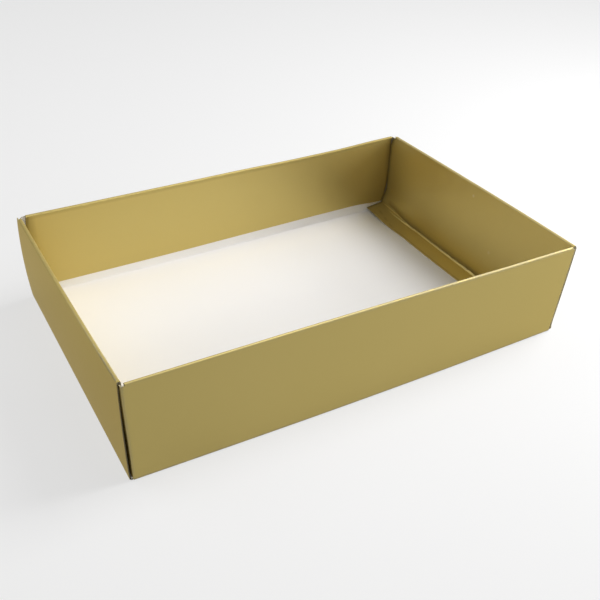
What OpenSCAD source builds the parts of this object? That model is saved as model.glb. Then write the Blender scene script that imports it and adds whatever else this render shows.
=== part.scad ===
// Gift tray folded from one sheet of gold-faced board, white on its reverse.
// The base is one panel. Each wall runs up from it, folds over at the rim and
// comes down again inside. Tabs on the long walls turn the corners behind the
// end walls, and the end walls' inner panels lock them with a flange that lies
// on the base. Lengths are in millimetres and +Z is up. The origin is under the
// middle of the base.

/* [Tray] */
// Length over the end walls
tray_l = 305; // [200:1:450]
// Width over the long walls
tray_w = 195; // [130:1:320]
// Height from the table to the rim
tray_h = 65; // [45:1:120]

/* [Board] */
// Thickness of the board
board = 0.6; // [0.4:0.1:0.9]
// Radius of the board's inner face at a crease
crease_r = 0.4; // [0.2:0.1:0.7]

/* [Long walls] */
// Clear gap between the outer and the inner panel
long_gap = 1.0; // [0.6:0.1:2.5]
// Height at which the inner panel ends, above the table
long_stop = 8; // [4:0.5:20]
// How far the rim stops short of the corner fold
long_rim_cut = 1.2; // [0.5:0.1:6]
// How much narrower the inner panel is at its foot, at each end
long_foot_cut = 2; // [0:0.5:8]

/* [Corner tabs] */
// Reach of a tab along the end wall, from the long wall's face
tab_reach = 46; // [20:1:60]
// How far a tab's upper and lower edges close in towards its free end
tab_taper = 3; // [0:0.5:8]
// Play between a tab and the end wall's outer panel
tab_play = 0.3; // [0.1:0.1:0.6]
// Clearance of a tab under the rim and over the base
tab_clear = 1.0; // [0.5:0.1:3]

/* [End walls] */
// Width of the open slit between an end wall and the long wall's face
end_slit = 2.4; // [1.5:0.1:5]
// Clear gap between the outer and the inner panel at the rim
end_gap = 1.8; // [1.5:0.1:4]
// Distance from the tray's end to the fold at the inner panel's foot
end_foot = 6; // [5:0.5:12]
// Clearance between the inner panel's edge and the long wall
end_clear = 0.6; // [0.3:0.1:2]
// Length of the flange that lies on the base
flange_l = 13; // [6:1:30]
// Clearance under the flange
flange_lift = 0.3; // [0.2:0.1:1]

/* [Hidden] */
$fn = 48;
// Radius of the board's outer face at a crease
fold_r = crease_r + board;
// Overall thickness of a long wall, whose rim is one half-round
long_wall = 2 * board + long_gap;
// Half-lengths of the long wall's outer panel and of its rim
long_half = tray_l / 2 - board - tab_play - fold_r;
rim_half = long_half - long_rim_cut;
// Half-widths of the end wall's outer panel and of what folds in from it
end_half = tray_w / 2 - end_slit;
inner_half = min(end_half, tray_w / 2 - long_wall - end_clear);
// Flat along the end wall's rim, between its two creases
end_flat = end_gap + 2 * board - 2 * fold_r;
// Centres of the rim's second crease and of the crease at the foot, measured
// inwards from the tray's end and up from the table
rim_c = [fold_r + end_flat, tray_h - fold_r];
foot_c = [end_foot, 2 * board + flange_lift + crease_r];
// The inner panel is tangent to both creases, on opposite sides of them
foot_d = norm(foot_c - rim_c);
lean = acos((fold_r + crease_r) / foot_d) - atan2(rim_c.y - foot_c.y, foot_c.x - rim_c.x);
inner_l = sqrt(foot_d * foot_d - pow(fold_r + crease_r, 2));
// The height between a tab's upper and lower edges, at the corner fold
tab_low = board + tab_clear;
tab_high = tray_h - board - tab_clear;

// The board's section comes in along +X with its gold face at y = 0, and turns
// towards +Y or, if turn < 0, towards -Y, with r as its inner radius. This is
// the height of the turn's centre.
function crease_centre(turn, r) = turn > 0 ? board + r : -r;

module crease(turn, r) {
    start = turn > 0 ? -90 : 90;
    reach = 2 * (r + board) / cos(turn / 4);
    translate([0, crease_centre(turn, r)]) intersection() {
        difference() {
            circle(r + board);
            circle(r);
        }
        polygon([[0, 0], for (a = [0, turn / 2, turn]) reach * [cos(start + a), sin(start + a)]]);
    }
}

// The board's section along a row of panels, each [length, turn after it, and
// the inner radius of that turn], drawn from the origin along +X
module section(panels, i = 0) {
    if (i < len(panels)) {
        run = panels[i][0];
        turn = panels[i][1];
        r = panels[i][2];
        if (run > 0) square([run, board]);
        if (turn != 0) translate([run, 0]) {
            centre = crease_centre(turn, r);
            crease(turn, r);
            translate([0, centre]) rotate(turn) translate([0, -centre]) section(panels, i + 1);
        }
    }
}

// A section in the plane of x and z, extruded along y between -half and half
module along_y(half) {
    rotate([90, 0, 0]) linear_extrude(2 * half, center = true) children();
}

// The same, in the plane of y and z and extruded along x
module along_x(half) {
    rotate([90, 0, 90]) linear_extrude(2 * half, center = true) children();
}

module base() {
    translate([-tray_l / 2 + fold_r, -tray_w / 2 + fold_r, 0])
        cube([tray_l - 2 * fold_r, tray_w - 2 * fold_r, board]);
}

// The long wall on the +Y side: crease, outer panel, rim and inner panel
module long_wall() {
    outer_l = tray_h - fold_r - long_wall / 2;
    inner_run = tray_h - long_wall / 2 - long_stop;
    foot_half = rim_half - long_foot_cut;
    along_x(long_half)
        translate([tray_w / 2 - fold_r, 0]) section([[0, 90, crease_r], [outer_l, 0, 0]]);
    intersection() {
        along_x(rim_half)
            translate([tray_w / 2, tray_h - long_wall / 2])
                rotate(90) section([[0, 180, long_gap / 2], [inner_run, 0, 0]]);
        translate([0, tray_w / 2 + board, 0]) rotate([90, 0, 0]) linear_extrude(2 * long_wall)
            polygon([
                [-foot_half, long_stop], [foot_half, long_stop],
                [rim_half, tray_h - long_wall], [rim_half, tray_h + board],
                [-rim_half, tray_h + board], [-rim_half, tray_h - long_wall]
            ]);
    }
}

// The tab at the corner on the +X, +Y side: it leaves the long wall's outer
// panel by an upright crease and lies behind the end wall's outer panel
module corner_tab() {
    face_x = tray_l / 2 - board - tab_play;
    translate([face_x, tray_w / 2, 0]) {
        translate([-fold_r, 0, tab_low]) linear_extrude(tab_high - tab_low)
            mirror([0, 1]) crease(90, crease_r);
        rotate([90, 0, -90]) linear_extrude(board)
            polygon([
                [fold_r, tab_low], [tab_reach, tab_low + tab_taper],
                [tab_reach, tab_high - tab_taper], [fold_r, tab_high]
            ]);
    }
}

// The end wall on the +X side: crease, outer panel, double-creased rim, inner
// panel and flange
module end_wall() {
    outer_l = tray_h - 2 * fold_r;
    along_y(end_half)
        translate([tray_l / 2 - fold_r, 0]) section([[0, 90, crease_r], [outer_l, 0, 0]]);
    along_y(inner_half)
        translate([tray_l / 2, tray_h - fold_r]) rotate(90) section([
            [0, 90, crease_r], [end_flat, 90 - lean, crease_r],
            [inner_l, lean - 90, crease_r], [flange_l, 0, 0]
        ]);
}

module tray() {
    color([0.71, 0.62, 0.38]) union() {
        base();
        for (side = [0, 1]) {
            mirror([0, side, 0]) long_wall();
            mirror([side, 0, 0]) end_wall();
            for (end = [0, 1]) mirror([end, 0, 0]) mirror([0, side, 0]) corner_tab();
        }
    }
}

tray();
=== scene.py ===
import math

import bpy
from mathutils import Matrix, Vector, noise


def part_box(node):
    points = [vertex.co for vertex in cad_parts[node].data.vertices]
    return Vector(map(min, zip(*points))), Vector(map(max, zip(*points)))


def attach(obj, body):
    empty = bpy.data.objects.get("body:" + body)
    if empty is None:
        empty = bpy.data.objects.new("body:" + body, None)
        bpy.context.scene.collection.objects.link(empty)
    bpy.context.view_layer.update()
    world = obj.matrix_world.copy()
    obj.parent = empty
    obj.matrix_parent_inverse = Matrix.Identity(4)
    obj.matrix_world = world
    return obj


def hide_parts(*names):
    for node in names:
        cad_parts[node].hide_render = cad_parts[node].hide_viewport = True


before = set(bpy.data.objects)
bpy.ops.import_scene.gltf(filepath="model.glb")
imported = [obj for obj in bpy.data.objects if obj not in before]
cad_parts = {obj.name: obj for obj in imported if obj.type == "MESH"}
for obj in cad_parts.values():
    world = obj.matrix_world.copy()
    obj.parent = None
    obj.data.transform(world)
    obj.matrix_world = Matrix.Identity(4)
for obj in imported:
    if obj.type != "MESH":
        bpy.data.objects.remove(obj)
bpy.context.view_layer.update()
scene = bpy.context.scene

# The tray is one sheet of folding board, 0.6 mm thick, gold on its face and plain white on its
# reverse. It is die-cut flat, creased, folded up at every crease and locked by its own end walls.
# Nothing is glued. First come its sizes, then the flat blank, the folding and the finishes.
tray_low, tray_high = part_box("tray")
tray_length, tray_width, tray_height = tray_high - tray_low
mm = 0.001
board = 0.6 * mm
crease_inside = 0.4 * mm            # radius of the board's inner face at a crease
crease_outside = crease_inside + board
crease_bend = crease_inside + board / 2
quarter_turn = crease_bend * math.pi / 2      # board used up by a crease of 90 degrees
bead_height = 0.28 * mm             # how far a crease swells on its inner side
bead_width = 0.55 * mm

# Long walls: outer panel, a half-round rim, and an inner panel that ends above the base
long_gap = 1.0 * mm
rim_bend = (long_gap + board) / 2
long_thickness = long_gap + 2 * board
long_crease = tray_width / 2 - crease_outside
long_outer = long_crease + quarter_turn
long_rim = long_outer + tray_height - crease_outside - long_thickness / 2
long_inner = long_rim + math.pi * rim_bend
long_stop = 8 * mm                  # height above the table at which the inner panel ends
long_free_edge = long_inner + tray_height - long_thickness / 2 - long_stop
tab_gap = 1.0 * mm                  # between an end wall's outer panel and the tabs behind it
tab_crease = tray_length / 2 - board - tab_gap - crease_outside
rim_half = tab_crease - 1.0 * mm
# How much more each end of a long wall's rim is cut back, and its inner panel's foot. The keys are
# the tray's corners: the end (-1 left, 1 right) and the side (-1 front, 1 back).
rim_cut = {(-1, -1): 0.2 * mm, (1, -1): 0.0, (1, 1): 1.2 * mm, (-1, 1): 1.8 * mm}
foot_cut = {(-1, -1): 3.0 * mm, (1, -1): 3.0 * mm, (1, 1): 5.8 * mm, (-1, 1): 3.0 * mm}

# Corner tabs: they leave the long walls' outer panels by upright creases
tab_length = 44 * mm
tab_flat = tab_crease + quarter_turn
tab_end = tab_flat + tab_length
tab_low = long_outer + 0.6 * mm     # clear of the base
tab_high = long_rim - 0.5 * mm      # clear of the rim
tab_taper = 3 * mm                  # how far each edge closes in towards the tab's end

# End walls: outer panel, two creases at the rim, inner panel and the flange on the base
end_half = tray_width / 2 - 1.4 * mm
# How far past this half-width each edge of the outer panels reaches, at the table and at the rim
leaf_reach = {
    (-1, -1): (0.1 * mm, -1.7 * mm), (1, -1): (0.4 * mm, 0.5 * mm),
    (1, 1): (0.4 * mm, 0.4 * mm), (-1, 1): (0.4 * mm, 0.4 * mm),
}
end_play = 0.6 * mm                 # between an end wall's inner panel and the long walls
end_inner_half = tray_width / 2 - long_thickness - end_play
end_crease = tray_length / 2 - crease_outside
end_outer = end_crease + quarter_turn
end_rim = end_outer + tray_height - 2 * crease_outside
end_rim_flat = end_rim + quarter_turn
end_flat = 0.3 * mm                 # flat along the rim, between its two creases
end_rim_inner = end_rim_flat + end_flat
foot_in = 3.6 * mm                  # how far in from the end the inner panel meets its flange
foot_up = 1.6 * mm                  # height of that fold's centre
run_in = foot_in - crease_outside - end_flat
run_down = tray_height - crease_outside - foot_up
inner_run = math.hypot(run_in, run_down)
inner_lean = math.acos((crease_outside + crease_inside) / inner_run) - math.atan2(run_down, run_in)
inner_turn = math.pi / 2 - inner_lean
end_inner = end_rim_inner + crease_bend * inner_turn
end_foot = end_inner + math.sqrt(inner_run ** 2 - (crease_outside + crease_inside) ** 2)
flange = end_foot + crease_bend * inner_turn
flange_length = 17.4 * mm
flange_edge = flange + flange_length
# How far the end walls' rims reach past their inner panels
rim_reach = {(-1, -1): -0.5 * mm, (1, -1): 1.4 * mm, (1, 1): -1.0 * mm, (-1, 1): -2.2 * mm}
# At the back right corner the foot was folded off its crease, so the flange there rises and narrows
foot_rise = 5.0 * mm
rise_from, rise_to = 55 * mm, 97 * mm
flange_taper = 2.8 * mm
flange_droop = math.radians(8)


def between(low, high, value):
    """A smooth step from 0 at low to 1 at high. Low may be the greater of the two."""
    share = min(1, max(0, (value - low) / (high - low)))
    return share * share * (3 - 2 * share)


def lines_between(start, stop, step, near_start=True, near_stop=True):
    """Lines across a panel, close together beside its creases and evenly spaced between them."""
    beside = [0.3 * mm, 1.0 * mm, 2.5 * mm]
    first = [start] + [start + d for d in beside if near_start]
    last = [stop - d for d in reversed(beside) if near_stop] + [stop]
    count = max(1, math.ceil((last[0] - first[-1]) / step))
    middle = [first[-1] + (last[0] - first[-1]) * k / count for k in range(1, count)]
    return first + middle + last


def lines_over_bend(start, stop, count):
    """Evenly spaced lines, for what bends."""
    return [start + (stop - start) * k / count for k in range(count + 1)]


def joined(*groups):
    """Groups of lines in one row, with each line that two groups share taken once."""
    lines = []
    for group in groups:
        lines += [line for line in group if not lines or line > lines[-1] + 1e-6]
    return lines


def both_ways(lines):
    """The lines on both sides of the blank's middle."""
    return [-line for line in reversed(lines) if line > 0] + lines


panel_step = 4.5 * mm
along_base = joined(lines_between(0, rim_half, panel_step, near_start=False), [tab_crease])
across_base = joined(
    lines_between(0, end_inner_half, panel_step, near_start=False), [end_half], [long_crease],
)
up_long_outer = joined(
    lines_over_bend(long_crease, long_outer, 6),
    lines_between(tab_low, tab_high, panel_step),
    [long_rim],
)
over_long_rim = joined(
    lines_over_bend(long_rim, long_inner, 10),
    lines_between(long_inner, long_free_edge, panel_step, True, False),
)
tab_bend = lines_over_bend(tab_crease, tab_flat, 6)
along_tab = joined(tab_bend, lines_between(tab_flat, tab_end, panel_step, True, False))
up_end_outer = joined(
    lines_over_bend(end_crease, end_outer, 6),
    lines_between(end_outer, end_rim, panel_step),
)
over_end_rim = joined(
    lines_over_bend(end_rim, end_rim_flat, 6),
    lines_over_bend(end_rim_flat, end_rim_inner, 2),
    lines_over_bend(end_rim_inner, end_inner, 6),
    lines_between(end_inner, end_foot, panel_step),
    lines_over_bend(end_foot, flange, 6),
    lines_over_bend(flange, flange + 4 * mm, 12),      # close together, for the ridge there
    lines_between(flange + 4 * mm, flange_edge, 2.2 * mm, False, True),
)

flat_points = {}
flat_quads = []


def die_cut(lines_x, lines_y):
    """Adds one rectangle of the blank. Panels that share a crease share its points."""
    for left, right in zip(lines_x, lines_x[1:]):
        for near, far in zip(lines_y, lines_y[1:]):
            corners = ((left, near), (right, near), (right, far), (left, far))
            keys = [(round(x * 1e7), round(y * 1e7)) for x, y in corners]
            for key, corner in zip(keys, corners):
                flat_points.setdefault(key, (len(flat_points), corner))
            flat_quads.append([flat_points[key][0] for key in keys])


def mirrored(lines, side):
    """The lines on one side of the blank's middle, in rising order."""
    return lines if side > 0 else [-line for line in reversed(lines)]


die_cut(both_ways(along_base), both_ways(across_base))
end_across = [line for line in across_base if line <= end_half + 1e-9]
end_across_inner = [line for line in across_base if line <= end_inner_half + 1e-9]
rim_along = [line for line in along_base if line <= rim_half + 1e-9]
for side in (1, -1):
    die_cut(mirrored(joined(tab_bend, [end_crease]), side), both_ways(across_base))
    die_cut(mirrored(up_end_outer, side), both_ways(end_across))
    die_cut(mirrored(over_end_rim, side), both_ways(end_across_inner))
    die_cut(both_ways(along_base), mirrored(up_long_outer, side))
    die_cut(both_ways(rim_along), mirrored(over_long_rim, side))
    tab_up = [line for line in up_long_outer if tab_low - 1e-9 <= line <= tab_high + 1e-9]
    web_up = [line for line in up_long_outer if line <= tab_low + 1e-9]
    for end in (1, -1):
        die_cut(mirrored(along_tab, end), mirrored(tab_up, side))
        die_cut(mirrored(tab_bend, end), mirrored(web_up, side))


def trimmed(x, y):
    """A point of the blank moved to its slanting cuts: the tabs taper, the inner panels narrow
    towards their feet, and each edge and rim of the end walls has its own reach."""
    out_x, out_y = abs(x), abs(y)
    end, side = (1 if x > 0 else -1), (1 if y > 0 else -1)
    on_long = out_y > long_crease + 1e-9
    on_end = out_x > end_crease + 1e-9 and not on_long
    if on_long and out_x > tab_flat:
        reach = (out_x - tab_flat) / (tab_end - tab_flat)
        middle = (tab_low + tab_high) / 2
        half = (tab_high - tab_low) / 2
        out_y = middle + (out_y - middle) * (1 - reach * tab_taper / half)
    if out_y > long_rim:
        down = max(0, (out_y - long_inner) / (long_free_edge - long_inner))
        cut = rim_cut[end, side] * (1 - down) ** 8 + foot_cut[end, side] * down ** 5
        out_x -= cut * (out_x / rim_half) ** 4
        # The back wall's inner panel ends higher towards the right, and low again at its end
        if side > 0:
            raised = 1.5 * between(-150 * mm, 100 * mm, x) - 1.4 * between(116 * mm, 144 * mm, x)
            out_y -= down * raised * mm
    if on_end and out_y > end_inner_half + 1e-9:
        low, high = leaf_reach[end, side]
        up = min(1, max(0, (out_x - end_outer) / (end_rim - end_outer)))
        widened = between(0, 1.5 * mm, out_x - end_crease) * (low + (high - low) * up)
        widened += 0.7 * mm * between(0.06, 0.01, up) * between(0, 1.5 * mm, out_x - end_crease)
        out_y += widened * (out_y - end_inner_half) / (end_half - end_inner_half)
    elif on_end and out_x > end_rim - 1e-9:
        over_rim = between(end_inner + 3 * mm, end_inner, out_x)
        out_y += over_rim * rim_reach[end, side] * (out_y / end_inner_half) ** 20
    # The right-hand inner panel and flange reach into the back corner, where the foot's fold slants
    if on_end and out_x > end_rim_flat and end == side == 1:
        out_y += 1.6 * mm * between(end_inner, end_inner + 3 * mm, out_x) * (out_y / end_inner_half) ** 8
        rise = between(rise_from, rise_to, out_y)
        along_flange = max(0, (out_x - flange) / (flange_edge - flange))
        down = min(1, max(0, (out_x - end_inner) / (end_foot - end_inner)))
        out_x -= rise * (foot_rise * down + flange_taper * along_flange)
    # The left-hand flange is a quarter shorter, so the wall in front of it hides it all
    if on_end and end < 0 and out_x > flange:
        out_x = flange + 0.75 * (out_x - flange)
    return math.copysign(out_x, x), math.copysign(out_y, y)


def swell(place, start, stop, seed):
    """Height of the bead along a crease, which no two stretches of a folded crease have alike. The
    place is across and along the crease, and each crease has a seed of its own."""
    across = (place[0] - (start + stop) / 2) / bead_width
    wander = noise.noise(Vector((place[1] * 70, seed, 0)))
    return math.exp(-(across - 0.25 * wander) ** 2) * (1 + 0.45 * wander)


def creases_at(x, y):
    """The swelling of the reverse and of the face at a point of the blank, from 0 to about 1."""
    out_x, out_y = abs(x), abs(y)
    side_x, side_y = math.copysign(3, x), math.copysign(5, y)
    reverse, face = [0.0], [0.0]
    if out_y > long_crease - 3 * mm:
        reverse.append(swell((out_y, x), long_crease, long_outer, side_y))
        if out_x > tab_crease - 3 * mm:
            reverse.append(swell((out_x, y), tab_crease, tab_flat, side_x + side_y))
    if out_y < long_crease + 1e-9:
        reverse.append(swell((out_x, y), end_crease, end_outer, side_x))
        reverse.append(swell((out_x, y), end_rim, end_rim_flat, side_x + 1))
        reverse.append(swell((out_x, y), end_rim_inner, end_inner, side_x + 2))
        face.append(swell((out_x, y), end_foot, flange, side_x + 4))
    return max(reverse), max(face)


def scuffs_and_highlight_at(x, y):
    """How pale the gold is: scuffed along the outside of each crease, and with a painted highlight on the
    rims and in dashes along the flange's ridge, where they catch the light.
    """
    out_x, out_y = abs(x), abs(y)
    scuffs_and_highlight = [0.0]
    if out_y > long_crease - 3 * mm:
        scuffs_and_highlight.append(math.exp(-((out_y - (long_crease + long_outer) / 2) / (0.7 * mm)) ** 2))
        # The front rim grows paler towards the right, the back rim only a little: scuffing, with a painted
        # highlight where the front rim catches the light
        scuffed_and_lit = 0.25 + 0.75 * between(-110 * mm, 90 * mm, x) if y < 0 else 0.12
        scuffs_and_highlight.append(scuffed_and_lit * math.exp(-((out_y - (long_rim + long_inner) / 2) / (1.2 * mm)) ** 2))
        scuffs_and_highlight.append(0.3 * math.exp(-((out_x - (tab_crease + tab_flat) / 2) / (0.7 * mm)) ** 2))
    else:
        # The left end's creases grow paler towards the front: scuffing, with a painted highlight where they
        # catch the light
        scuffed_and_lit = 0.2 + 0.8 * between(0, -85 * mm, y) if x < 0 else 0.45
        for crease in ((end_crease, end_outer), (end_rim, end_rim_flat), (end_rim_inner, end_inner)):
            scuffs_and_highlight.append(scuffed_and_lit * math.exp(-((out_x - sum(crease) / 2) / (0.35 * mm)) ** 2))
        # Pale dashes along the flange's ridge: a painted highlight where the ridge catches the light
        fold = flange - (foot_rise * between(rise_from, rise_to, y) if x > 0 else 0)
        dashes = max(0, 0.3 + 1.4 * noise.noise(Vector((y * 260, 7, 0))))
        scuffs_and_highlight.append(dashes * math.exp(-((out_x - fold - 1.7 * mm) / (0.6 * mm)) ** 2))
    return max(scuffs_and_highlight)


def painted_shade_at(x, y):
    """How much painted shade darkens the board: in the flange's fold and beside its free edge, where two
    inner panels meet, round the back right corner, over the right-hand flange, and on the back wall's rim."""
    out_x, out_y = abs(x), abs(y)
    at_back_right = x > 0 and y > 0
    soiled = [0.0]
    # Painted shade on the end walls' inner panels and flanges: in the fold, beside the free edge, at the
    # sides, round the back right corner and over the right flange
    if out_y < long_crease and out_x > end_inner:
        rise = between(rise_from, rise_to, y) if x > 0 else 0
        fold = flange - foot_rise * rise
        spread = 3.2 * mm if out_x < fold else 0.8 * mm
        soiled.append(0.85 * math.exp(-((out_x - fold) / spread) ** 2))
        edge = flange_edge - (foot_rise + flange_taper) * rise
        soiled.append(0.6 * math.exp(-((out_x - edge + 1.0 * mm) / (0.6 * mm)) ** 2))
        soiled.append(0.9 * between(end_inner_half - 3 * mm, end_inner_half, out_y))
        if at_back_right and out_x < end_foot:
            low = between(end_inner, end_foot, out_x)
            soiled.append((0.2 + 0.35 * low) * between(end_inner_half - 35 * mm, end_inner_half, out_y))
        if x > flange:
            soiled.append(0.1 + 0.2 * between(-20 * mm, end_inner_half, y))
    # Painted shade at the ends of the long walls' inner panels, and round the back right corner
    if out_y > long_inner:
        soiled.append(0.9 * between(rim_half - 4 * mm, rim_half - 1 * mm, out_x))
        if at_back_right:
            low = between(long_inner, long_free_edge, out_y)
            soiled.append((0.2 + 0.4 * low) * between(rim_half - 35 * mm, rim_half, out_x))
    # Painted shade on the back wall's rim and just under it, darker towards the right
    if y > long_rim:
        near_rim = between(long_inner + 3 * mm, long_inner, y)
        soiled.append((0.3 + 0.35 * between(-40 * mm, 120 * mm, x)) * near_rim)
    return max(soiled)


# The blank has two layers, so that its thickness is folded with it: the gold face is below and the
# white reverse above, and strips of cut board close it all round. The reverse gets painted shade
# only at the ends of the back wall, its panels and tabs, most at the right.
ordered = [corner for _, corner in sorted(flat_points.values())]
layers = ([], [])
flat_at = []
scuffs_and_highlight_values = []
soiled_at = ([], [])
flap_at = []
for x, y in ordered:
    reverse, face = creases_at(x, y)
    cut_x, cut_y = trimmed(x, y)
    layers[0].append((cut_x, cut_y, -board / 2 - 1.5 * bead_height * face))
    layers[1].append((cut_x, cut_y, board / 2 + bead_height * reverse))
    flat_at.append((cut_x, cut_y, 0))
    scuffs_and_highlight_values.append(scuffs_and_highlight_at(x, y))
    soiled_at[0].append(painted_shade_at(x, y))
    # Painted shade on the reverse at the back wall's ends, in the pockets at its corners
    at_end = (0.9 if x > 0 else 0.35) if abs(x) > rim_half - 3 * mm else 0
    soiled_at[1].append(at_end if y > long_crease else 0.0)
    flap_at.append((abs(y) > long_crease + 1e-6) - (abs(x) > end_crease + 1e-6 and abs(y) < long_crease))
count = len(ordered)
edge_uses = {}
for a, b, c, d in flat_quads:
    for pair in ((a, b), (b, c), (c, d), (d, a)):
        edge_uses[frozenset(pair)] = edge_uses.get(frozenset(pair), 0) + 1
gold_faces = [(d, c, b, a) for a, b, c, d in flat_quads]
white_faces = [tuple(count + v for v in quad) for quad in flat_quads]
cut_faces = []
for a, b, c, d in flat_quads:
    for start, stop in ((a, b), (b, c), (c, d), (d, a)):
        if edge_uses[frozenset((start, stop))] == 1:
            cut_faces.append((start, stop, count + stop, count + start))

blank = bpy.data.meshes.new("folded_sheet")
blank.from_pydata(layers[0] + layers[1], [], gold_faces + white_faces + cut_faces)
sides = blank.attributes.new("side", "INT", "FACE")
sides.data.foreach_set("value", [0] * len(gold_faces) + [1] * len(white_faces) + [2] * len(cut_faces))
flat = blank.attributes.new("flat", "FLOAT_VECTOR", "POINT")
flat.data.foreach_set("vector", [v for place in flat_at + flat_at for v in place])
flap = blank.attributes.new("flap", "FLOAT", "POINT")      # 1 on the long walls, -1 on the end walls
flap.data.foreach_set("value", [float(kind) for kind in flap_at + flap_at])
scuffs_and_highlight = blank.attributes.new("scuffs_and_highlight", "FLOAT", "POINT")
scuffs_and_highlight.data.foreach_set("value", scuffs_and_highlight_values + scuffs_and_highlight_values)
soiled = blank.attributes.new("soiled", "FLOAT", "POINT")
soiled.data.foreach_set("value", soiled_at[0] + soiled_at[1])
folded_sheet = bpy.data.objects.new("folded_sheet", blank)
scene.collection.objects.link(folded_sheet)


# Folding: one node group folds what lies past one crease. It is placed once for each crease, the
# outermost first, so that each fold carries the folds beyond it round.
def node_with(tree, kind, place, operation=None, **values):
    """A node with its inputs set or linked, each by its name, or by its number as in0, in1."""
    node = tree.nodes.new(kind)
    node.location = place
    if operation:
        node.operation = operation
    for name, value in values.items():
        target = node.inputs[int(name[2:])] if name.startswith("in") else node.inputs[name]
        if isinstance(value, bpy.types.NodeSocket):
            tree.links.new(value, target)
        else:
            target.default_value = value
    return node


def make_crease_group():
    """Geometry group: folds what lies past one crease, which runs square to Across."""
    group = bpy.data.node_groups.new("fold_at_a_crease", "GeometryNodeTree")
    for name, kind in (
        ("Sheet", "NodeSocketGeometry"), ("Across", "NodeSocketVector"), ("Crease", "NodeSocketFloat"),
        ("Turn", "NodeSocketFloat"), ("Bend radius", "NodeSocketFloat"), ("Flap", "NodeSocketFloat"),
    ):
        group.interface.new_socket(name, in_out="INPUT", socket_type=kind)
    group.interface.new_socket("Sheet", in_out="OUTPUT", socket_type="NodeSocketGeometry")
    given = group.nodes.new("NodeGroupInput")
    given.location = (-1400, 0)
    across, crease, turn = given.outputs["Across"], given.outputs["Crease"], given.outputs["Turn"]
    bend = given.outputs["Bend radius"]
    flat_place = group.nodes.new("GeometryNodeInputNamedAttribute")
    flat_place.data_type = "FLOAT_VECTOR"
    flat_place.inputs["Name"].default_value = "flat"
    flat_place.location = (-1400, 260)

    def maths(operation, place, first, second=None):
        node = node_with(group, "ShaderNodeMath", place, operation, in0=first)
        if second is not None:
            if isinstance(second, bpy.types.NodeSocket):
                group.links.new(second, node.inputs[1])
            else:
                node.inputs[1].default_value = second
        return node.outputs[0]

    def vectors(operation, place, first, second):
        return node_with(group, "ShaderNodeVectorMath", place, operation, in0=first, in1=second).outputs[0]

    reach = node_with(
        group, "ShaderNodeVectorMath", (-1200, 260), "DOT_PRODUCT",
        in0=flat_place.outputs["Attribute"], in1=across,
    ).outputs["Value"]
    beyond = maths("SUBTRACT", (-1000, 260), reach, crease)
    full_bend = maths("MULTIPLY", (-1000, 60), maths("ABSOLUTE", (-1200, 60), turn), bend)
    in_bend = node_with(group, "ShaderNodeClamp", (-800, 260), Value=beyond, Max=full_bend).outputs[0]
    used = maths("MULTIPLY", (-600, 260), in_bend, given.outputs["Flap"])
    way = maths("SIGN", (-1000, -140), turn)
    angle = maths("MULTIPLY", (-400, 120), maths("DIVIDE", (-600, 60), used, bend), way)
    lift = maths("MULTIPLY", (-800, -140), way, bend)
    centre_up = node_with(group, "ShaderNodeCombineXYZ", (-600, -140), Z=lift).outputs[0]

    def scaled(place, vector, factor):
        node = node_with(group, "ShaderNodeVectorMath", place, "SCALE", in0=vector)
        group.links.new(factor, node.inputs["Scale"])
        return node.outputs[0]

    centre = vectors("ADD", (-400, -140), scaled((-600, -300), across, crease), centre_up)
    axis = vectors("CROSS_PRODUCT", (-400, -320), across, (0, 0, 1))
    position = group.nodes.new("GeometryNodeInputPosition").outputs[0]
    drawn_in = vectors("SUBTRACT", (-400, 420), position, scaled((-600, 420), across, used))
    turned = node_with(
        group, "ShaderNodeVectorRotate", (-180, 160), Vector=drawn_in, Center=centre, Axis=axis, Angle=angle,
    ).outputs[0]
    placed = node_with(
        group, "GeometryNodeSetPosition", (40, 160), Geometry=given.outputs["Sheet"], Position=turned,
    )
    out = group.nodes.new("NodeGroupOutput")
    out.location = (240, 160)
    group.links.new(placed.outputs["Geometry"], out.inputs["Sheet"])
    return group


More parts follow.
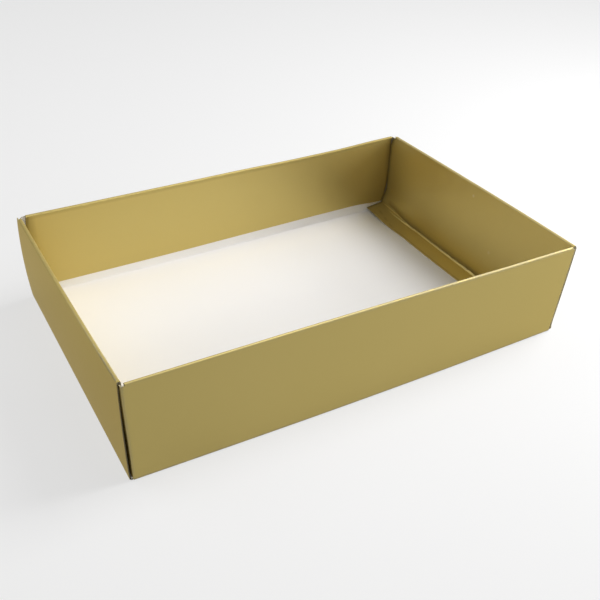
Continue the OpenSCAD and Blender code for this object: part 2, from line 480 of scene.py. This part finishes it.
def make_folding_tree(crease_group):
    """Geometry tree: every fold of the tray in turn, then the three finishes."""
    tree = bpy.data.node_groups.new("fold_the_tray", "GeometryNodeTree")
    tree.interface.new_socket("Blank", in_out="INPUT", socket_type="NodeSocketGeometry")
    for name in (
        "Long wall crease", "Long rim crease", "Tab crease", "End wall crease", "End rim outer crease",
        "End rim inner crease", "End foot crease", "Crease bend", "Rim bend", "Inner panel turn",
        "Foot rise", "Rise from", "Rise to", "Flange droop",
    ):
        tree.interface.new_socket(name, in_out="INPUT", socket_type="NodeSocketFloat")
    for name in ("Gold face", "White reverse", "Cut edge"):
        tree.interface.new_socket(name, in_out="INPUT", socket_type="NodeSocketMaterial")
    tree.interface.new_socket("Tray", in_out="OUTPUT", socket_type="NodeSocketGeometry")
    given = tree.nodes.new("NodeGroupInput")
    given.location = (-900, 0)
    flat_place = tree.nodes.new("GeometryNodeInputNamedAttribute")
    flat_place.data_type = "FLOAT_VECTOR"
    flat_place.inputs["Name"].default_value = "flat"
    flat_place.location = (-900, 420)
    apart = node_with(
        tree, "ShaderNodeSeparateXYZ", (-700, 420), Vector=flat_place.outputs["Attribute"],
    )
    flap_kind = tree.nodes.new("GeometryNodeInputNamedAttribute")
    flap_kind.data_type = "FLOAT"
    flap_kind.inputs["Name"].default_value = "flap"
    flap_kind.location = (-700, 600)
    kind = flap_kind.outputs["Attribute"]
    on_end = node_with(tree, "ShaderNodeMath", (-300, 420), "LESS_THAN", in0=kind, in1=-0.5).outputs[0]
    on_long = node_with(tree, "ShaderNodeMath", (-300, 580), "GREATER_THAN", in0=kind, in1=0.5).outputs[0]
    off_end = node_with(tree, "ShaderNodeMath", (-300, 740), "GREATER_THAN", in0=kind, in1=-0.5).outputs[0]

    # The foot of the right-hand end is folded off its crease towards the back, and droops there
    def risen(place, amount):
        node = tree.nodes.new("ShaderNodeMapRange")
        node.interpolation_type = "SMOOTHSTEP"
        node.location = place
        for source, target in (
            (apart.outputs["Y"], "Value"), (given.outputs["Rise from"], "From Min"),
            (given.outputs["Rise to"], "From Max"), (given.outputs[amount], "To Max"),
        ):
            tree.links.new(source, node.inputs[target])
        return node.outputs["Result"]

    slanted = node_with(
        tree, "ShaderNodeMath", (-100, 260), "SUBTRACT",
        in0=given.outputs["End foot crease"], in1=risen((-300, 260), "Foot rise"),
    ).outputs[0]
    closed = node_with(
        tree, "ShaderNodeMath", (-300, 0), "MULTIPLY", in0=given.outputs["Inner panel turn"], in1=-1.0,
    ).outputs[0]
    drooped = node_with(
        tree, "ShaderNodeMath", (-100, 100), "ADD", in0=closed, in1=risen((-300, 100), "Flange droop"),
    ).outputs[0]

    right_angle = math.pi / 2
    sheet = given.outputs["Blank"]
    folds = []
    for side in (1, -1):
        folds += [
            (
                (side, 0, 0), slanted if side > 0 else given.outputs["End foot crease"],
                drooped if side > 0 else closed, "Crease bend", on_end,
            ),
            ((side, 0, 0), "End rim inner crease", given.outputs["Inner panel turn"], "Crease bend", on_end),
            ((side, 0, 0), "End rim outer crease", right_angle, "Crease bend", on_end),
            ((side, 0, 0), "End wall crease", right_angle, "Crease bend", on_end),
            ((side, 0, 0), "Tab crease", right_angle, "Crease bend", on_long),
        ]
    for side in (1, -1):
        folds += [
            ((0, side, 0), "Long rim crease", 2 * right_angle, "Rim bend", off_end),
            ((0, side, 0), "Long wall crease", right_angle, "Crease bend", off_end),
        ]
    for step, (across, crease, turn, bend, flap) in enumerate(folds):
        fold = tree.nodes.new("GeometryNodeGroup")
        fold.node_tree = crease_group
        fold.location = (100 + 220 * step, 0)
        fold.inputs["Across"].default_value = across
        tree.links.new(sheet, fold.inputs["Sheet"])
        crease = given.outputs[crease] if isinstance(crease, str) else crease
        tree.links.new(crease, fold.inputs["Crease"])
        tree.links.new(given.outputs[bend], fold.inputs["Bend radius"])
        for value, name in ((turn, "Turn"), (flap, "Flap")):
            if isinstance(value, bpy.types.NodeSocket):
                tree.links.new(value, fold.inputs[name])
            else:
                fold.inputs[name].default_value = value
        sheet = fold.outputs["Sheet"]

    side_number = tree.nodes.new("GeometryNodeInputNamedAttribute")
    side_number.data_type = "INT"
    side_number.inputs["Name"].default_value = "side"
    side_number.location = (3100, 300)
    smooth = node_with(tree, "GeometryNodeSetShadeSmooth", (3200, 0), Geometry=sheet)
    real = node_with(tree, "GeometryNodeRealizeInstances", (3400, 0), Geometry=smooth.outputs[0])
    sheet = real.outputs[0]
    for number, name in enumerate(("Gold face", "White reverse", "Cut edge")):
        chosen = tree.nodes.new("FunctionNodeCompare")
        chosen.data_type = "INT"
        chosen.operation = "EQUAL"
        chosen.location = (3400 + 220 * number, 300)
        tree.links.new(side_number.outputs["Attribute"], chosen.inputs[2])
        chosen.inputs[3].default_value = number
        finish = tree.nodes.new("GeometryNodeSetMaterial")
        finish.location = (3600 + 220 * number, 0)
        tree.links.new(sheet, finish.inputs["Geometry"])
        tree.links.new(chosen.outputs["Result"], finish.inputs["Selection"])
        tree.links.new(given.outputs[name], finish.inputs["Material"])
        sheet = finish.outputs["Geometry"]
    out = tree.nodes.new("NodeGroupOutput")
    out.location = (4400, 0)
    tree.links.new(sheet, out.inputs["Tray"])
    return tree


# Finishes: the gold is a satin metallic foil on the board's face, the reverse is uncoated white,
# and the cut edge shows the board's fibres.
def make_paper_grain():
    """Shader group: the fine tooth of the board, and its slow cloudy changes of shade."""
    teeth_per_metre, clouds_per_metre = 2600.0, 22.0
    group = bpy.data.node_groups.new("paper_grain", "ShaderNodeTree")
    for name, value in (("Tooth size", 1.0), ("Cloud size", 1.0)):
        socket = group.interface.new_socket(name, in_out="INPUT", socket_type="NodeSocketFloat")
        socket.default_value = value
    for name in ("Tooth", "Cloud"):
        group.interface.new_socket(name, in_out="OUTPUT", socket_type="NodeSocketFloat")
    given = group.nodes.new("NodeGroupInput")
    given.location = (-900, 0)
    place = group.nodes.new("ShaderNodeTexCoord")
    place.location = (-900, 240)
    tooth_scale = node_with(
        group, "ShaderNodeMath", (-700, 60), "DIVIDE",
        in0=teeth_per_metre, in1=given.outputs["Tooth size"],
    )
    cloud_scale = node_with(
        group, "ShaderNodeMath", (-700, -120), "DIVIDE",
        in0=clouds_per_metre, in1=given.outputs["Cloud size"],
    )
    tooth = node_with(
        group, "ShaderNodeTexNoise", (-450, 120), Vector=place.outputs["Object"],
        Scale=tooth_scale.outputs[0], Detail=3.0, Roughness=0.6,
    )
    cloud = node_with(
        group, "ShaderNodeTexNoise", (-450, -140), Vector=place.outputs["Object"],
        Scale=cloud_scale.outputs[0], Detail=2.0, Roughness=0.5,
    )
    out = group.nodes.new("NodeGroupOutput")
    group.links.new(tooth.outputs[0], out.inputs["Tooth"])
    group.links.new(cloud.outputs[0], out.inputs["Cloud"])
    return group


def make_crease_scuffs_and_highlight():
    """Shader group: a mask of cracked, scuffed board along the creases, which also carries the painted
    highlight on the rims and the flange's ridge.
    """
    group = bpy.data.node_groups.new("crease_scuffs_and_highlight", "ShaderNodeTree")
    socket = group.interface.new_socket("Amount", in_out="INPUT", socket_type="NodeSocketFloat")
    socket.default_value = 1.0
    group.interface.new_socket("Scuffs and highlight", in_out="OUTPUT", socket_type="NodeSocketFloat")
    given = group.nodes.new("NodeGroupInput")
    scuffs_and_highlight_here = group.nodes.new("ShaderNodeAttribute")
    scuffs_and_highlight_here.attribute_name = "scuffs_and_highlight"
    scuffs_and_highlight_here.location = (-900, 200)
    place = group.nodes.new("ShaderNodeTexCoord")
    place.location = (-900, -40)
    cracks = node_with(
        group, "ShaderNodeTexNoise", (-650, -40), Vector=place.outputs["Object"], Scale=420.0, Detail=4.0,
        Roughness=0.65,
    )
    broken = group.nodes.new("ShaderNodeMapRange")
    broken.location = (-450, -40)
    broken.inputs["From Min"].default_value = 0.25
    broken.inputs["From Max"].default_value = 0.6
    group.links.new(cracks.outputs[0], broken.inputs["Value"])
    scuffed_and_lit = node_with(
        group, "ShaderNodeMath", (-250, 100), "MULTIPLY",
        in0=scuffs_and_highlight_here.outputs["Fac"], in1=broken.outputs["Result"],
    )
    amount = node_with(
        group, "ShaderNodeMath", (-60, 60), "MULTIPLY", in0=scuffed_and_lit.outputs[0], in1=given.outputs["Amount"],
    )
    amount.use_clamp = True
    out = group.nodes.new("NodeGroupOutput")
    group.links.new(amount.outputs[0], out.inputs["Scuffs and highlight"])
    return group


def make_small_mark():
    """Shader group: a soft round spot on one of the end walls, at a place on the tray."""
    group = bpy.data.node_groups.new("small_mark", "ShaderNodeTree")
    group.interface.new_socket("Place", in_out="INPUT", socket_type="NodeSocketVector")
    group.interface.new_socket("Radius", in_out="INPUT", socket_type="NodeSocketFloat")
    group.interface.new_socket("Mark", in_out="OUTPUT", socket_type="NodeSocketFloat")
    given = group.nodes.new("NodeGroupInput")
    place = group.nodes.new("ShaderNodeTexCoord")
    away = node_with(
        group, "ShaderNodeVectorMath", (-600, 0), "SUBTRACT",
        in0=place.outputs["Object"], in1=given.outputs["Place"],
    )
    on_wall = node_with(
        group, "ShaderNodeVectorMath", (-400, 0), "MULTIPLY", in0=away.outputs[0], in1=(0.2, 1, 1),
    )
    distance = node_with(group, "ShaderNodeVectorMath", (-200, 0), "LENGTH", in0=on_wall.outputs[0])
    spot = group.nodes.new("ShaderNodeMapRange")
    spot.interpolation_type = "SMOOTHSTEP"
    spot.inputs["To Min"].default_value = 1.0
    spot.inputs["To Max"].default_value = 0.0
    group.links.new(distance.outputs["Value"], spot.inputs["Value"])
    group.links.new(given.outputs["Radius"], spot.inputs["From Max"])
    out = group.nodes.new("NodeGroupOutput")
    group.links.new(spot.outputs["Result"], out.inputs["Mark"])
    return group


def placed_group(tree, group, place, **values):
    """A shader group in a finish, with its inputs set."""
    node = tree.nodes.new("ShaderNodeGroup")
    node.node_tree = group
    node.location = place
    for name, value in values.items():
        node.inputs[name.replace("_", " ")].default_value = value
    return node


def mixed_colour(tree, place, factor, first, second):
    mix = tree.nodes.new("ShaderNodeMix")
    mix.data_type = "RGBA"
    mix.location = place
    for value, socket in ((factor, mix.inputs[0]), (first, mix.inputs[6]), (second, mix.inputs[7])):
        if isinstance(value, bpy.types.NodeSocket):
            tree.links.new(value, socket)
        else:
            socket.default_value = value
    return mix.outputs[2]


def ranged(tree, place, value, low, high):
    """A value from 0 to 1, stretched to run from low to high."""
    node = tree.nodes.new("ShaderNodeMapRange")
    node.location = place
    node.inputs["To Min"].default_value = low
    node.inputs["To Max"].default_value = high
    tree.links.new(value, node.inputs["Value"])
    return node.outputs["Result"]


def bumped(tree, place, height, strength, distance):
    bump = tree.nodes.new("ShaderNodeBump")
    bump.location = place
    bump.inputs["Strength"].default_value = strength
    bump.inputs["Distance"].default_value = distance
    tree.links.new(height, bump.inputs["Height"])
    return bump.outputs["Normal"]


def painted_shade_mask(tree, place, amount):
    """The mask of painted shade for a finish, from the sheet's own attribute."""
    soiled_here = tree.nodes.new("ShaderNodeAttribute")
    soiled_here.attribute_name = "soiled"
    soiled_here.location = place
    return ranged(tree, (place[0] + 180, place[1]), soiled_here.outputs["Fac"], 0.0, amount)


def new_finish(name):
    material = bpy.data.materials.new(name)
    material.use_nodes = True
    tree = material.node_tree
    return material, tree, tree.nodes["Principled BSDF"]


paper_grain = make_paper_grain()
crease_scuffs_and_highlight = make_crease_scuffs_and_highlight()
small_mark = make_small_mark()

gold_foil = (0.54, 0.43, 0.147, 1)
gold_foil_warm = (0.56, 0.446, 0.16, 1)
# A pale gold for scuffing, used also for a painted highlight on the rims, the flange's ridge and a dent
gold_scuffed_and_lit = (0.66, 0.59, 0.37, 1)
# A dark gold-brown, painted as shade into folds, seams and corners
gold_soiled = (0.13, 0.095, 0.025, 1)
board_white = (0.883, 0.876, 0.878, 1)
board_white_warm = (0.90, 0.893, 0.89, 1)
# The cut edge is darker and more golden than the board's white core: painted shade
cut_board = (0.50, 0.43, 0.22, 1)
cut_board_pale = (0.68, 0.60, 0.40, 1)

gold_face, tree, surface = new_finish("gold_face")
grain = placed_group(tree, paper_grain, (-900, 0), Tooth_size=1.0, Cloud_size=1.4)
scuffs_and_highlight_mask = placed_group(tree, crease_scuffs_and_highlight, (-900, -260), Amount=0.9)
foil = mixed_colour(tree, (-600, 200), grain.outputs["Cloud"], gold_foil, gold_foil_warm)
# Paler where scuffed, with a painted highlight on the rims and the flange's ridge
foil = mixed_colour(tree, (-400, 200), scuffs_and_highlight_mask.outputs["Scuffs and highlight"], foil, gold_scuffed_and_lit)
# Three small pale marks on the right-hand end's inner face: place and radius in mm, and strength. The first
# is a painted highlight where the wall is dented; the other two are pale spots.
marks = (
    ((149.0, -1.3, 56.7), 1.8, 0.75),
    ((148.7, 90.3, 64.5), 1.6, 0.6),
    ((149.0, -28.7, 23.9), 2.0, 0.35),
)
for number, (mark_place, radius, strength) in enumerate(marks):
    mark = placed_group(
        tree, small_mark, (-1100, 400 + 200 * number),
        Place=[value * mm for value in mark_place], Radius=radius * mm,
    )
    mark = ranged(tree, (-900, 400 + 200 * number), mark.outputs["Mark"], 0.0, strength)
    foil = mixed_colour(tree, (-300, 500), mark, foil, gold_scuffed_and_lit)
# Painted shade darkens the gold in folds, seams and corners
foil = mixed_colour(tree, (-200, 200), painted_shade_mask(tree, (-400, 400), 0.75), foil, gold_soiled)
tree.links.new(foil, surface.inputs["Base Color"])
satin = ranged(tree, (-600, -60), grain.outputs["Tooth"], 0.34, 0.48)
rougher = ranged(tree, (-600, -500), scuffs_and_highlight_mask.outputs["Scuffs and highlight"], 0.0, 0.35)
satin = node_with(tree, "ShaderNodeMath", (-400, -60), "ADD", in0=satin, in1=rougher)
rougher = painted_shade_mask(tree, (-600, -700), 0.35)
satin = node_with(tree, "ShaderNodeMath", (-200, -60), "ADD", in0=satin.outputs[0], in1=rougher)
tree.links.new(satin.outputs[0], surface.inputs["Roughness"])
tree.links.new(ranged(tree, (-400, -200), scuffs_and_highlight_mask.outputs["Scuffs and highlight"], 0.7, 0.0), surface.inputs["Metallic"])
tree.links.new(bumped(tree, (-400, -340), grain.outputs["Tooth"], 0.12, 0.00006), surface.inputs["Normal"])
surface.inputs["Specular Tint"].default_value = (0.80, 0.66, 0.34, 1)

white_reverse, tree, surface = new_finish("white_reverse")
grain = placed_group(tree, paper_grain, (-900, 0), Tooth_size=1.6, Cloud_size=2.2)
stock = mixed_colour(tree, (-500, 200), grain.outputs["Cloud"], board_white, board_white_warm)
# Painted shade darkens the reverse in the back wall's corner pockets
stock = mixed_colour(tree, (-300, 200), painted_shade_mask(tree, (-500, 400), 0.9), stock, gold_soiled)
tree.links.new(stock, surface.inputs["Base Color"])
tree.links.new(ranged(tree, (-400, -60), grain.outputs["Tooth"], 0.62, 0.78), surface.inputs["Roughness"])
tree.links.new(bumped(tree, (-400, -340), grain.outputs["Tooth"], 0.15, 0.00008), surface.inputs["Normal"])

cut_edge, tree, surface = new_finish("cut_edge")
grain = placed_group(tree, paper_grain, (-900, 0), Tooth_size=0.7, Cloud_size=0.6)
stock = mixed_colour(tree, (-500, 200), grain.outputs["Tooth"], cut_board, cut_board_pale)
# Painted shade darkens the cut edges where the sheet beside them has it
stock = mixed_colour(tree, (-300, 200), painted_shade_mask(tree, (-500, 400), 0.7), stock, gold_soiled)
tree.links.new(stock, surface.inputs["Base Color"])
tree.links.new(bumped(tree, (-400, -340), grain.outputs["Tooth"], 0.4, 0.0001), surface.inputs["Normal"])
surface.inputs["Roughness"].default_value = 0.9

folding_tree = make_folding_tree(make_crease_group())
folding = folded_sheet.modifiers.new("fold_the_tray", "NODES")
folding.node_group = folding_tree
folding_values = {
    "Long wall crease": long_crease,
    "Long rim crease": long_rim,
    "Tab crease": tab_crease,
    "End wall crease": end_crease,
    "End rim outer crease": end_rim,
    "End rim inner crease": end_rim_inner,
    "End foot crease": end_foot,
    "Crease bend": crease_bend,
    "Rim bend": rim_bend,
    "Inner panel turn": inner_turn,
    "Foot rise": foot_rise,
    "Rise from": rise_from,
    "Rise to": rise_to,
    "Flange droop": flange_droop,
    "Gold face": gold_face,
    "White reverse": white_reverse,
    "Cut edge": cut_edge,
}
for item in folding_tree.interface.items_tree:
    if item.name in folding_values:
        folding[item.identifier] = folding_values[item.name]
bpy.context.view_layer.update()
evaluated = folded_sheet.evaluated_get(bpy.context.evaluated_depsgraph_get())
folded = bpy.data.meshes.new_from_object(evaluated)
folded_sheet.modifiers.clear()
folded_sheet.data = folded
bpy.data.meshes.remove(blank)
folded.name = "folded_sheet"


# A tray folded by hand is never quite square: its walls lean a millimetre or two at the corners and
# bow between them, and what isn't held by a crease curls. Each corner stands out so many
# millimetres along the length and across, at the rim and at the table.
rim_out = {(-1, -1): (0.1, -1.8), (1, -1): (0.1, 1.4), (1, 1): (-0.1, 1.5), (-1, 1): (1.15, -1.3)}
foot_out = {(-1, -1): (-0.3, 0.2), (1, -1): (-3.0, 0.35), (1, 1): (0.0, 0.0), (-1, 1): (-1.2, 0.1)}
# The bow of each wall at its middle, at the table and at the rim
end_bow = {-1: (0.0, 0.7), 1: (0.4, 1.3)}
long_bow = {-1: (1.6, -1.0), 1: (0.0, -1.2)}
# The bulge of each end wall's outer panel, at its front and at its back
leaf_bulge = {-1: (0.4, 1.6), 1: (0.4, 0.8)}


def settled(place, flat_x, flat_y, kind):
    """Where a point of the folded sheet comes to lie. Its place on the flat blank tells the layers
    of a wall apart, and its kind is 1 on the long walls, -1 on the end walls and 0 on the base."""
    x, y, z = (value / mm for value in place)
    z += board / 2 / mm
    up = z / (tray_height / mm)
    along = min(1, max(0, place[0] / tray_length + 0.5))
    across = min(1, max(0, place[1] / tray_width + 0.5))
    end, side = (1 if x > 0 else -1), (1 if y > 0 else -1)
    near_end = between(0.55, 1.0, abs(2 * along - 1))
    near_side = between(0.4, 1.0, abs(2 * across - 1))
    corners = (((end, -1), 1 - across), ((end, 1), across))
    out_x = sum(share * (foot_out[key][0] * (1 - up) + rim_out[key][0] * up) for key, share in corners)
    corners = (((-1, side), 1 - along), ((1, side), along))
    out_y = sum(share * (foot_out[key][1] * (1 - up) + rim_out[key][1] * up) for key, share in corners)
    foot, rim = end_bow[end]
    out_x += math.sin(math.pi * across) * (foot + (rim - foot) * up)
    foot, rim = long_bow[side]
    out_y += math.sin(math.pi * along) * (foot + (rim - foot) * up)
    # The front wall stands nearer to the end wall at its top left corner, and rises at its right one
    if side < 0 and end < 0 and kind > 0:
        out_x += 0.7 * between(8, 58, z)
    if side < 0 and end > 0:
        z += 0.6 * up * between(0.3, 1.0, 1 - across) * between(0.8, 1.0, along)
    # The back wall is a little low up to its right-hand corner, and its rim dips right of the middle
    if side > 0 and kind > 0:
        z -= 0.4 * up * between(1.0, 0.85, along)
        z -= 0.7 * up * between(0.5, 0.7, along) * between(0.92, 0.8, along)
    out_x, out_y = near_end * out_x, near_side * out_y

    # The base and the back wall's foot stand a little off the table towards the back right
    z += 1.5 * between(-60, 120, x) * between(10, 97, y) * max(0, 1 - up)
    # The end walls' outer panels bulge, and the right-hand inner panel stands in towards the back
    if kind < 0 and abs(flat_x) < end_rim:
        front, back = leaf_bulge[end]
        out_x += (front + (back - front) * across) * math.sin(math.pi * min(1, up)) ** 0.7
    if kind < 0 and end > 0 and abs(flat_x) > end_rim_inner:
        pressed = 1.9 * between(64.5, 58, z) - 0.4 * between(58, 35, z) + 3.6 * between(20, 8, z)
        out_x -= pressed * between(45, 95, y)
    # The flange was folded against its crease, which left a broken ridge beside the fold
    if kind < 0 and abs(flat_x) > end_foot:
        fold = flange - (foot_rise * between(rise_from, rise_to, flat_y) if end > 0 else 0)
        ridge = math.exp(-((abs(flat_x) - fold - 1.7 * mm) / (0.7 * mm)) ** 2)
        height = 0.7 + 0.8 * noise.noise(Vector((y * 0.3, end, 0)))
        for bump_y, more in ((1, 0.3), (-7, 0.4), (-18, 0.7)):
            height += more * math.exp(-((y - bump_y) / 2.5) ** 2)
        z += max(0, height) * ridge
    # The back wall's outer panel rounds out beside its right-hand crease, and the long walls' inner
    # panels curl towards the outer ones at their ends
    if kind > 0 and end == side == 1 and abs(flat_y) < long_rim:
        out_y += 0.5 * between(134, 145, x) * math.sin(math.pi * min(1, up)) ** 0.5
    if kind > 0 and abs(flat_y) > long_inner:
        curl = 1.3 if end == side == 1 else 0.4
        out_y += curl * between(144.2 * mm, 148.2 * mm, abs(flat_x)) * between(1.0, 0.92, up)
    return Vector((x + end * out_x, y + side * out_y, z)) * mm


flat_place = folded.attributes["flat"].data
flap_kind = folded.attributes["flap"].data
for vertex in folded.vertices:
    flat_x, flat_y, _ = flat_place[vertex.index].vector
    vertex.co = settled(vertex.co, flat_x, flat_y, round(flap_kind[vertex.index].value))
folded.set_sharp_from_angle(angle=math.radians(40))
folded.update()

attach(folded_sheet, "root")
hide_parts("tray")

# The studio: a pale table that runs on to a pale backdrop, a large soft lamp high on the right,
# a smaller one low on the same side, weak ones above and behind, and a faint strip over the
# front wall. The table and the backdrop are paler to the eye than the light they give.
table_mesh = bpy.data.meshes.new("table_top")
reach = 6.0
table_mesh.from_pydata(
    [(-reach, -reach, 0), (reach, -reach, 0), (reach, reach, 0), (-reach, reach, 0)], [], [(0, 1, 2, 3)],
)
table_top = bpy.data.objects.new("table_top", table_mesh)
table_top.location = (0, 0, -0.05 * mm)     # just clear of the tray's underside
scene.collection.objects.link(table_top)
table_paper, tree, surface = new_finish("table_paper")
table_grey, table_glow = (0.25, 0.25, 0.25, 1), 0.65
backdrop_light, backdrop_glow = 0.05, 0.6
surface.inputs["Base Color"].default_value = table_grey
surface.inputs["Roughness"].default_value = 0.9
surface.inputs["Emission Color"].default_value = (1, 1, 1, 1)


def seen_level(tree, unseen, seen):
    """A strength that is one value where the camera, a mirror or glass sees it, and another elsewhere."""
    path = tree.nodes.new("ShaderNodeLightPath")
    directly = node_with(
        tree, "ShaderNodeMath", (-700, -200), "MAXIMUM",
        in0=path.outputs["Is Camera Ray"], in1=path.outputs["Is Glossy Ray"],
    )
    directly = node_with(
        tree, "ShaderNodeMath", (-500, -200), "MAXIMUM",
        in0=directly.outputs[0], in1=path.outputs["Is Transmission Ray"],
    )
    return ranged(tree, (-300, -200), directly.outputs[0], unseen, seen)


tree.links.new(seen_level(tree, 0.0, table_glow), surface.inputs["Emission Strength"])
table_mesh.materials.append(table_paper)

world = bpy.data.worlds.new("studio")
scene.world = world
world.use_nodes = True
backdrop = world.node_tree.nodes["Background"]
backdrop.inputs["Color"].default_value = (1, 1, 1, 1)
backdrop_level = seen_level(world.node_tree, backdrop_light, backdrop_glow)
world.node_tree.links.new(backdrop_level, backdrop.inputs["Strength"])


def soft_lamp(name, place, aim, width, watts, depth=None, spread=180):
    """A soft lamp at a place and aimed at a place in metres, round unless it has a depth."""
    lamp = bpy.data.lights.new(name, "AREA")
    lamp.shape = "RECTANGLE" if depth else "DISK"
    lamp.size = width
    if depth:
        lamp.size_y = depth
    lamp.spread = math.radians(spread)
    lamp.energy = watts
    holder = bpy.data.objects.new(name, lamp)
    holder.location = place
    holder.rotation_euler = (Vector(aim) - Vector(place)).to_track_quat("-Z", "Y").to_euler()
    holder.visible_camera = False
    scene.collection.objects.link(holder)


def around(middle, round_from_front, above, distance):
    """A place round a middle; angles in degrees, anticlockwise from the front as seen from above."""
    turn, rise = math.radians(round_from_front), math.radians(above)
    away = Vector((math.sin(turn) * math.cos(rise), -math.cos(turn) * math.cos(rise), math.sin(rise)))
    return Vector(middle) + away * distance


tray_middle = (0, 0, 0)
front_corner = (0.08, 0, 0.03)
soft_lamp("right_lamp", around(tray_middle, 90, 50, 1.3), tray_middle, 0.7, 11.6)
soft_lamp("back_lamp", around(tray_middle, 225, 50, 1.3), tray_middle, 0.7, 2.0)
soft_lamp("corner_lamp", around(front_corner, 75, 20, 0.6), front_corner, 0.3, 3.1)
soft_lamp("top_lamp", (-0.03, -0.09, 0.36), (-0.03, 0.095, 0.03), 0.2, 0.19)

# This one is a low strip over the front wall, which lights the inside of the back wall
soft_lamp("strip_lamp", (-0.06, -0.085, 0.095), (-0.06, 0.097, 0.045), 0.26, 0.03, depth=0.04, spread=70)

# The camera stands at the front left and looks down at the tray from above its rims
camera = bpy.data.objects.new("camera", bpy.data.cameras.new("camera"))
camera.location = (-0.23775, -0.39402, 0.32617)
camera.rotation_euler = (math.radians(55.367), math.radians(-1.466), math.radians(-28.565))
camera.data.lens = 48.853
camera.data.sensor_width = 36
camera.data.shift_x = 0.0473
camera.data.shift_y = 0.0025
scene.collection.objects.link(camera)
scene.camera = camera

scene.view_settings.view_transform = "Standard"
